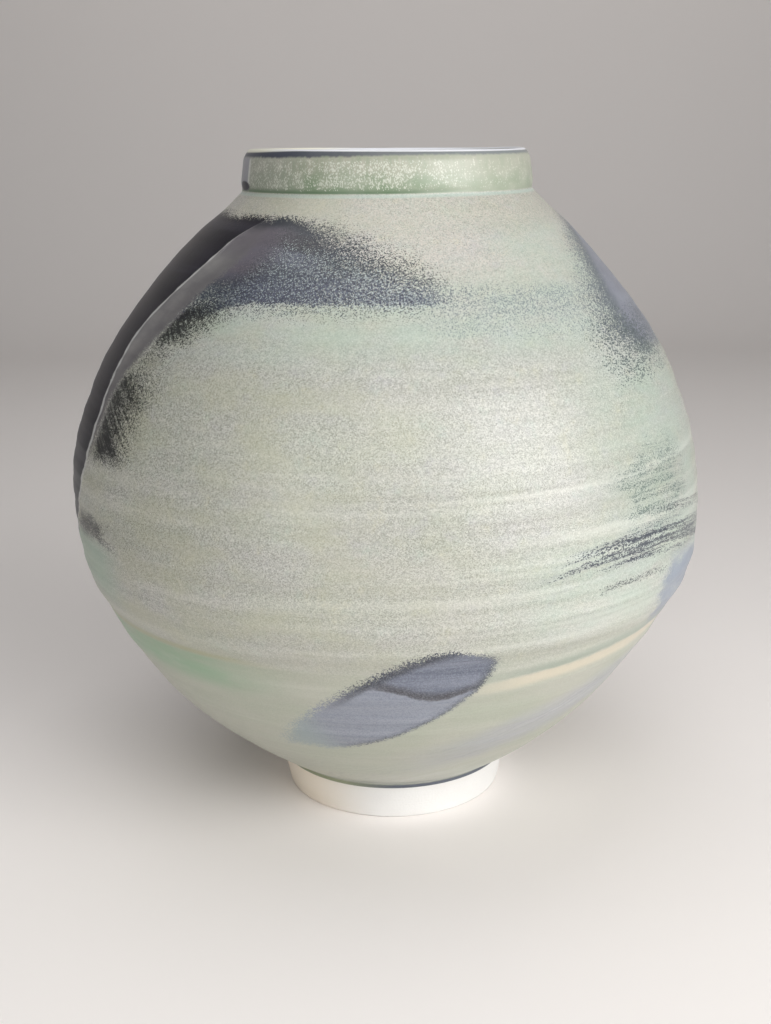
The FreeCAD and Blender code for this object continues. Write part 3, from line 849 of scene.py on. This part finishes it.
    def lay_belly_streaks(self):
        """Dark grains and slanting streaks round the right of the belly, with a sky blue patch under them."""
        up, azimuth, wisps = self.up, self.azimuth, self.wisps
        slant = up + (azimuth - 44).squared() * 0.012 + wisps * 2
        lines = self.noise(70, 1.7, roughness=0.6, shift=9, level=slant)
        slant_drops = self.drops(0.8, 0.48, shift=2.3, level=slant)
        grains = (azimuth + wisps * 8).between(35, 48, 59, 68) * up.between(176, 192, 214, 242)
        grain_share = grains * (wisps * 0.4 + 0.36 + lines * 0.55)
        self.lay(self.cover(grain_share, self.finer_drops) * 0.85, BELLY_GRAINS)
        flow = slant.between(163, 175, 183, 192) * azimuth.between(14, 42, 84, 120)
        core = slant.between(168, 177, 182, 186) * azimuth.between(20, 50, 66, 90)
        streak_share = flow * (lines * 0.9 + 0.3) + core * 0.26
        self.lay(flow * lines.above(-0.2, 0.6) * 0.5, FLOW_LINES)
        self.lay(self.cover(streak_share, slant_drops) * 0.92, FLOW_DROPS)
        branch = slant.between(188, 191, 193, 198) * azimuth.between(44, 56, 80, 100)
        branch = branch.most(slant.between(157, 160, 162, 166) * azimuth.between(30, 40, 50, 60))
        self.lay(self.cover(branch * (lines * 0.9 + 0.36), slant_drops) * 0.85, BRANCH_DROPS)
        sky_tint = self.mix(wisps.above(-0.5, 0.5), *SKY)
        far_sky = azimuth + self.other_cloud * 18
        sky = (slant + self.other_cloud * 4).between(120, 140, 161, 173) * far_sky.between(50, 63, 82, 132)
        self.lay(sky * 0.35 + self.cover(sky * 0.9, self.fine_drops) * 0.5, sky_tint)

    def lay_lens(self):
        """The lens-shaped patch low on the front, with a wavy dark line across it."""
        up, azimuth, wisps, grain = self.up, self.azimuth, self.wisps, self.grain
        aside = azimuth * self.reach / RADIAN
        along = (aside - 4) * 0.84 + (up - 107) * 0.54
        across = (up - 107) * 0.84 - (aside - 4) * 0.54
        outward = along.squared() * (1 / 57 ** 2) + across.squared() * (1 / 19.6 ** 2) + wisps * 0.07
        over_top = up - 143.5 + (aside - 30).most(0) * 0.3
        lens = self.ramp(outward, across.above(-6, 6) * 0.9 + 1.16, 0.72) * over_top.below(-5, 2)
        over_line = up - 116 + self.maths("SINE", azimuth * 0.27 - 0.6) * 4.5 - wisps * 2.5
        over_line = over_line + self.noise(4, detail=3, roughness=0.7, shift=1.5) * 1.3
        low_blue = self.mix(self.brushed.above(-0.7, 0.7), *LENS_LOW)
        high_blue = self.mix(self.brushed.above(-0.4, 0.6), *LENS_HIGH)
        blue = self.mix(over_line.above(-1.5, 1.5), low_blue, high_blue)
        line = over_line.between(-2, -0.3, 1, 6) * aside.between(-14, -4, 50, 60)
        blue = self.mix(line * (wisps.above(-0.7, 0.1) * 0.3 + 0.6), blue, LENS_LINE)
        dark_top = outward.above(0.66, 0.98) * across.above(-9, 5) * along.above(-38, -4)
        blue = self.mix(dark_top * 0.9, blue, LENS_TOP)
        dark_foot = outward.above(0.58, 0.92) * across.below(-9, 0) * along.above(-50, -30)
        blue = self.mix(dark_foot * (grain.below(0.1, 0.7) * 0.5 + 0.45), blue, LENS_FOOT)
        blue = self.mix(grain.above(0.5, 0.9) * 0.3, blue, LENS_LIGHT_GRAINS)
        blue = self.mix(grain.below(0.1, 0.4) * 0.3, blue, LENS_DARK_GRAINS)
        blue = self.mix(along.below(-56, -34) * 0.6, blue, LENS_LEFT)
        cut = self.cover(lens, self.fine_drops)
        ragged_lens = cut * across.above(-4, 6) + (cut * 0.75 + lens * 0.25) * across.below(-4, 6)
        self.lay(ragged_lens, blue)

    def ridge(self):
        """The azimuth of the raised edge, as the mesh has it."""
        rise = self.up.above(*RIDGE_SWING_UP)
        return ridge_line(rise, (RIDGE_FALL_UP - self.up).most(0), (self.up - RIDGE_HOOK_UP).most(0))

    def lay_left(self):
        """On the left: a taupe edge inside the raised line, dark streaky grains beside it, and navy beyond it."""
        up, azimuth, wisps = self.up, self.azimuth, self.wisps
        share = self.past_start.between(-5, 0.5, 1, 21) * up.between(206, 224, 288, 302)
        thin_here = up.between(254, 264, 272, 282) * 0.5
        lines = self.noise(40, 1.6, detail=1, shift=7.7, level=up + azimuth * 1.6)
        share = share * (1 - thin_here) * (wisps * 0.45 + lines * 0.45 + 0.8)
        self.lay(self.cover(share, self.finer_drops) * 0.95, LEFT_GRAINS)

        ridge = self.ridge()
        beyond = ridge - azimuth
        taupe = self.past_start.below(-4, 2) * up.above(198, 234) * self.under_top * beyond.below(0, 0.4)
        tint = self.mix(wisps.above(-0.5, 0.5), *TAUPE)
        tint = self.mix(self.past_start.between(-9, -3, 0, 2) * 0.55, tint, TAUPE_INNER)
        tint = self.mix(up.above(312, 326) * 0.6, tint, TAUPE_HIGH)
        tint = self.mix((self.bands + wisps).below(-0.9, -0.1) * 0.3, tint, TAUPE_BANDS)
        top_grains = self.depth.between(-12, -2, 4, 9)
        tint = self.mix(top_grains * 0.85, tint, TAUPE_TOP)
        taupe = taupe * azimuth.above(-85, -80)
        at_top = self.cover(taupe, self.spiky_drops) * top_grains
        self.lay(at_top + self.cover(taupe, self.finer_drops) * (1 - top_grains), tint)

        dots = (azimuth + wisps * 9).between(-74, -65, -59, -49)
        dots = dots * (up + self.other_cloud * 7).between(168, 175, 181, 191)
        self.lay(self.cover(dots * (wisps * 0.4 + 0.75), self.finer_drops) * 0.9, DOTS)
        under_dots = azimuth.between(-84, -70, -60, -48) * up.between(135, 155, 168, 178)
        self.lay(under_dots * 0.7, UNDER_DOTS)

        navy_share = beyond.above(0, 0.5) * azimuth.above(-165, -140) * self.under_top
        navy = self.mix(wisps.above(-0.5, 0.5), *NAVY)
        navy = self.mix(up.below(180, 250) * 0.5, navy, NAVY_LOW)
        navy = self.mix((self.bands * 0.8 + self.brushed * 0.5).above(0.1, 0.5) * 0.35, navy, NAVY_BANDS)
        self.lay(self.cover(navy_share, self.fine_drops), navy)
        # A pale line along the raised edge: partly the glaze breaking pale over the ridge, partly a painted highlight
        # on it.
        raised = (azimuth - ridge).between(-0.4, -0.1, 0.15, 0.55) * up.between(150, 195, 316, 333)
        self.lay(raised * 0.9, RAISED_EDGE_PALE_AND_HIGHLIGHT)

    def lay_collar(self):
        """The collar: sage with pale runs, pooled darker at its foot, and a lilac strip and a spot to the left."""
        up, azimuth = self.up, self.azimuth
        on_collar = up.above(345.2, 345.9)
        run_drops = self.drops(0.48, 0.8, shift=1.9)
        self.flow_marks = self.noise(2.2, 30)
        self.patchy = self.noise(9, 6, detail=3, shift=1.2)
        sage = self.mix(self.patchy.above(-0.4, 0.4), *SAGE)
        sage = self.mix(up.above(348, 361) * (self.flow_marks * 0.5 + 0.5), sage, SAGE_RUNS)
        sage = self.mix(azimuth.between(-170, -130, -48, -24) * 0.5, sage, SAGE_LEFT)
        pool = up.below(345.9, self.patchy * 1.5 + 348.6) * azimuth.between(-176, -120, 8, 60)
        sage = self.mix(pool * 0.75, sage, SAGE_POOL)
        sage = self.mix(azimuth.between(0, 35, 95, 140) * 0.45, sage, SAGE_RIGHT)
        run_share = self.flow_marks * 0.25 + 0.3 + self.patchy * 0.3
        run_share = up.between(345.5, 349, 360, 364) * run_share + 0.05
        run_share = run_share * (1 - azimuth.between(0, 40, 130, 170) * 0.35)
        sage = self.mix(self.cover(run_share, run_drops) * 0.72, sage, SAGE_DROPS)
        self.lay(on_collar, sage)
        self.lay(up.between(343.2, 344, 344.8, 345.6) * 0.5, COLLAR_LINE)
        lilac = azimuth.between(-150, -120, -67.5, -66.5) * up.between(345.5, 347, 362, 364)
        self.lay(lilac * 0.85, LILAC)
        lilac_edge = azimuth.between(-67.8, -66.6, -65.8, -64.4) * up.between(347, 350, 361, 363)
        self.lay(lilac_edge * 0.6, LILAC_EDGE)
        from_spot = (azimuth + 72).squared() * 0.02 + (up - 348.4).squared() * 0.16
        self.lay(from_spot.below(0.6, 1.3), COLLAR_SPOT)

    def lay_lip(self):
        """A dark band under the lip, and the pale lip with a painted highlight along it. Both follow the dips of the
        rim.
        """
        up, azimuth = self.up, self.azimuth
        dip = azimuth.above(-60, 55) * 1.3 + azimuth.below(-175, -75) * 1.3
        rim = up + dip
        ragged = rim + self.flow_marks * 0.9 + self.patchy * 0.5
        to_the_right = azimuth.between(-50, 20, 120, 170)
        band_foot = to_the_right * 1.7 + 362.2
        band = (ragged - band_foot).above(0, 1.5) * rim.below(366, 366.6) * self.reach.above(72.6, 73.4)
        band_tint = self.mix(azimuth.between(-25, 40, 110, 165), *LIP_BAND)
        self.lay(band * (0.93 - to_the_right * 0.2), band_tint)
        # The lip is pale glaze with a painted highlight along it: bluish white to the right, cream to the left.
        lip = rim.above(366, 366.6).most(self.reach.below(72.6, 73.4) * up.above(350, 352))
        self.lay(lip, self.mix(azimuth.between(-175, -140, -60, -35) * 0.75, *LIP_PALE_AND_HIGHLIGHT))

    def lay_foot_edge(self):
        """The glaze's edge over the foot: a dark line with a thin pale one and a fainter dark one over it."""
        up = self.up
        edge_tint = self.mix(self.azimuth.between(-30, 5, 130, 170), *FOOT_EDGE)
        self.lay(up.below(22, 23.4) * 0.9, edge_tint)
        self.lay(up.between(23.2, 24, 24.6, 25.6) * 0.5, FOOT_PALE_LINE)
        self.lay(up.between(25.4, 26.2, 26.6, 27.6) * 0.6, FOOT_DARK_LINE)


def stage_material(name, tint, roughness):
    """The floor and backdrop: a plain pale surface with a hardly seen cloud in it."""
    paint = Paint(name)
    cloud = paint.noise(700)
    paint.colour = paint.mix(cloud.above(-1, 1) * 0.2, tint, tuple(part * 0.96 for part in tint))
    return paint.finish(cloud * 0.02 + roughness, Specular_IOR_Level=0.2)


# ---- The jar ----

WIDE = columns(1.5)
CLOSE = columns(0.75)
RIDGE_CLOSE = columns(0.75, (-73, -40, 0.25))
porcelain = bare_porcelain()
clay = fired_slip("porcelain_body", BODY_TINT)
slip = fired_slip("porcelain_slip", SLIP_TINT)

foot = trace([
    straight(RECESS_TOP), straight((51, 1.2)), into((52.2, 0), FOOT_ROUND), straight((61.8, 0)),
    around((63, 1.2), FOOT_ROUND), straight(FOOT_TOP), straight(RECESS_TOP),
], 1.2)
add_piece("foot_ring_turned", "foot_ring", "bare_porcelain", foot[:-1], CLOSE, porcelain)

foot_joint = trace([
    straight(RECESS_TOP), straight(FOOT_TOP), straight(BASE_LOW), straight((48.5, 22.4)), straight(RECESS_TOP),
], 2)
add_piece("foot_joint_fillet", "foot_joint_slip", "porcelain_slip", foot_joint[:-1], WIDE, slip)

lower = trace([
    straight((0, 22.4)), straight(BASE_LOW), straight(BASE_HIGH), around(RIM_LOW, LOWER_CURVE),
    straight(RIM_LOW_IN), *FLOOR_INSIDE,
], 3)
add_piece("lower_wall", "lower_bowl", "porcelain_body", lower, WIDE, clay, closed=False)

belly_joint = trace([
    straight(RIM_LOW), straight(RIM_HIGH), straight(RIM_HIGH_IN), around(BEAD_HIGH, SEAM_CURVE - WALL),
    into(BEAD_LOW, BEAD_CURVE), around(RIM_LOW_IN, LOWER_CURVE - WALL), straight(RIM_LOW),
], 1)
add_piece("belly_joint_bead", "belly_joint_slip", "porcelain_slip", belly_joint[:-1], WIDE, slip)

upper = trace([
    straight(RIM_HIGH_IN), straight(RIM_HIGH), around(BELLY, SEAM_CURVE), around(SHOULDER, UPPER_CURVE),
    around(NECK, SHOULDER_CURVE), straight(NECK_CUT), *UPPER_INSIDE, around(RIM_HIGH_IN, SEAM_CURVE - WALL),
], 3)
add_piece("upper_wall", "upper_bowl", "porcelain_body", upper[:-1], WIDE, clay)

collar_joint = trace([
    straight(NECK_CUT), straight(JOINT_LOW), straight(JOINT_HIGH), straight(MOUTH_LOW), straight(NECK_CUT),
], 1.5)
add_piece("collar_joint_fillet", "collar_joint_slip", "porcelain_slip", collar_joint[:-1], WIDE, slip)

collar = trace([
    straight(MOUTH_LOW), straight(JOINT_HIGH), around(COLLAR_SWELL, COLLAR_CURVE), straight(BEVEL_LOW),
    straight(BEVEL_HIGH), around(LIP, LIP_ROUND), into(MOUTH_HIGH, LIP_ROUND), straight(MOUTH_LOW),
], 0.8)
add_piece("collar_band", "collar", "porcelain_body", collar[:-1], WIDE, clay)

surface = soften(trace(COAT, 1), 3, 339, 366)
RELIEF_SHOWN = [(21, 0), (30, 1), (338, 1), (346, 0)]


def surface_relief(azimuth, up):
    """The relief on the outer surface only, and none where the coat ends at the foot and in the mouth."""
    relief = coat_relief(azimuth, up) * table(up, RELIEF_SHOWN)
    relief[len(surface):] = 0
    return relief


add_piece(
    "outer_glaze_coat", "outer_glaze", "outer_glaze", np.concatenate([surface, trace(COAT_BACK, 4)]), RIDGE_CLOSE,
    SprayedGlaze().build(), relief=surface_relief,
)
add_piece(
    "inner_glaze_coat", "inner_glaze", "liner_glaze", np.concatenate([trace(LINER, 1.5), trace(LINER_BACK, 3)]),
    columns(1.0), liner_glaze(), closed=False,
)

# ---- Stage ----

def add_floor():
    """A pale floor that curves up into the backdrop behind the jar, in metres."""
    near, turn, radius, top, side = -2.2, 1.6, 0.8, 3.2, 3.5
    run = [(near, 0.0), (turn, 0.0)]
    run += [
        (turn + radius * math.sin(angle), radius * (1 - math.cos(angle)))
        for angle in np.linspace(0, math.pi / 2, 13)[1:]
    ]
    run.append((turn + radius, top))
    vertices = [(x, y, z) for y, z in run for x in (-side, side)]
    faces = [(2 * i, 2 * i + 1, 2 * i + 3, 2 * i + 2) for i in range(len(run) - 1)]
    mesh = bpy.data.meshes.new("studio_floor")
    mesh.from_pydata(vertices, [], faces)
    mesh.shade_smooth()
    floor = add_object("studio_floor", mesh)
    floor.data.materials.append(stage_material("studio_floor", FLOOR_TINT, 0.6))


def add_lamp(name, place, target, size, watts):
    name += "_softbox"
    light = bpy.data.lights.new(name, "AREA")
    light.shape = "RECTANGLE"
    light.size, light.size_y = size
    light.energy = watts
    lamp = add_object(name, light)
    lamp.location = place
    direction = Vector(target) - Vector(place)
    lamp.rotation_euler = direction.to_track_quat("-Z", "Y").to_euler()


# The softboxes: where each stands, what it faces, its width and height, all in metres, and its power.
BELLY_MIDDLE = (0.0, 0.0, 0.2)
LAMPS = [
    ("side", (1.5, -0.8, 0.6), BELLY_MIDDLE, (0.5, 1.2), 9.5),
    ("key", (1.15, -1.35, 0.85), BELLY_MIDDLE, (1.0, 1.2), 20.5),
    ("front", (0.15, -1.5, 1.2), (0.0, -0.1, 0.1), (1.0, 0.8), 7.5),
    ("left", (-0.85, -1.45, 0.6), BELLY_MIDDLE, (0.5, 1.2), 5.1),
    ("top", (-0.2, 0.1, 1.9), BELLY_MIDDLE, (1.6, 1.6), 12.0),
]
AIR_TINT = (0.94, 0.96, 1.0, 1.0)
AIR_STRENGTH = 0.06

add_floor()
for lamp in LAMPS:
    add_lamp(*lamp)
world = bpy.data.worlds.new("studio_air")
world.use_nodes = True
world.node_tree.nodes["Background"].inputs["Color"].default_value = AIR_TINT
world.node_tree.nodes["Background"].inputs["Strength"].default_value = AIR_STRENGTH
bpy.context.scene.world = world

# The camera stands where the photograph was taken from; its lens is worked out for the photograph's 771 x 1024 frame.
SENSOR_WIDTH = 36.0
PHOTO_HEIGHT = 1024
PHOTO_FOCAL_LENGTH = 1350
CAMERA_PLACE = (-0.0009, -0.7541, 0.3745)
CAMERA_DOWNWARDS = 0.27409
CAMERA_ROLL = -0.0126
camera_data = bpy.data.cameras.new("camera")
camera_data.sensor_width = SENSOR_WIDTH
camera_data.lens = SENSOR_WIDTH * PHOTO_FOCAL_LENGTH / PHOTO_HEIGHT
camera = add_object("camera", camera_data)
camera.location = CAMERA_PLACE
camera.rotation_euler = (math.pi / 2 - CAMERA_DOWNWARDS, 0.0, 0.0)
camera.rotation_euler.rotate_axis("Z", CAMERA_ROLL)
bpy.context.scene.camera = camera

bpy.context.scene.view_settings.view_transform = "Standard"
